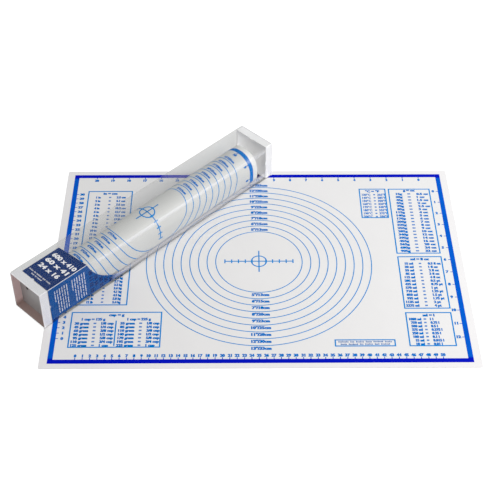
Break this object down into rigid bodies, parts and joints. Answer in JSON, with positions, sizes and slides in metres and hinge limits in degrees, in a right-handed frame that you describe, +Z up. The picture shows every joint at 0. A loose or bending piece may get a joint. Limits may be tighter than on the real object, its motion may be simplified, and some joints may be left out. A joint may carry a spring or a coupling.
{
  "type": "silicone baking mat",
  "caption": "Thin coated baking mat with a printed measuring face, lying flat, and a second one rolled up in a clear square box with end caps laid across it.",
  "frame": {"origin": "centre of the flat mat's underside, which is also the centre of its printed circles", "axes": "+X to the right along the mat's long side, +Y to its far long side, +Z up"},
  "size_m": [0.6444, 0.4446, 0.0655],
  "materials": {
    "silicone": "satin, faintly woven, slightly translucent",
    "glass_cloth": "plain weave glass fibre",
    "dark_ink": "printed film",
    "light_ink": "printed film",
    "clear_sheet": "clear folded sheet",
    "card": "printed coated card",
    "cap_plastic": "moulded, satin"
  },
  "bodies": {
    "mat": {"mat_base_coat": "silicone", "mat_glass_cloth": "glass_cloth", "mat_top_coat": "silicone", "border_line": "dark_ink", "circle_guides": "light_ink", "centre_mark": "light_ink", "cm_ruler_bottom": "dark_ink", "cm_ruler_left": "dark_ink", "inch_ruler_top": "dark_ink", "inch_ruler_right": "dark_ink", "table_frames": "light_ink"},
    "tube": {"tube_top_panel": "clear_sheet", "tube_bottom_panel": "clear_sheet", "tube_front_panel": "clear_sheet", "tube_back_panel": "clear_sheet", "tube_glue_flap": "clear_sheet", "label_card": "card"},
    "near_cap": {"near_end_cap": "cap_plastic"},
    "far_cap": {"far_end_cap": "cap_plastic"},
    "roll": {"rolled_mat": "silicone"}
  },
  "joints": [
    {"name": "box_lift", "type": "slide", "parent": "mat", "child": "tube", "axis": [0, 0, 1], "range_m": [0, 0.12]},
    {"name": "near_cap_pull", "type": "slide", "parent": "tube", "child": "near_cap", "axis": [-0.7009, -0.7133, 0], "range_m": [0, 0.36]},
    {"name": "roll_draw", "type": "slide", "parent": "tube", "child": "roll", "axis": [-0.7009, -0.7133, 0], "range_m": [0, 0.324]},
    {"name": "far_cap_pull", "type": "slide", "parent": "tube", "child": "far_cap", "axis": [0.7009, 0.7133, 0], "range_m": [0, 0.06]}
  ],
  "couplings": [
    {"joint": "roll_draw", "follows": "near_cap_pull", "ratio": 0.9}
  ]
}
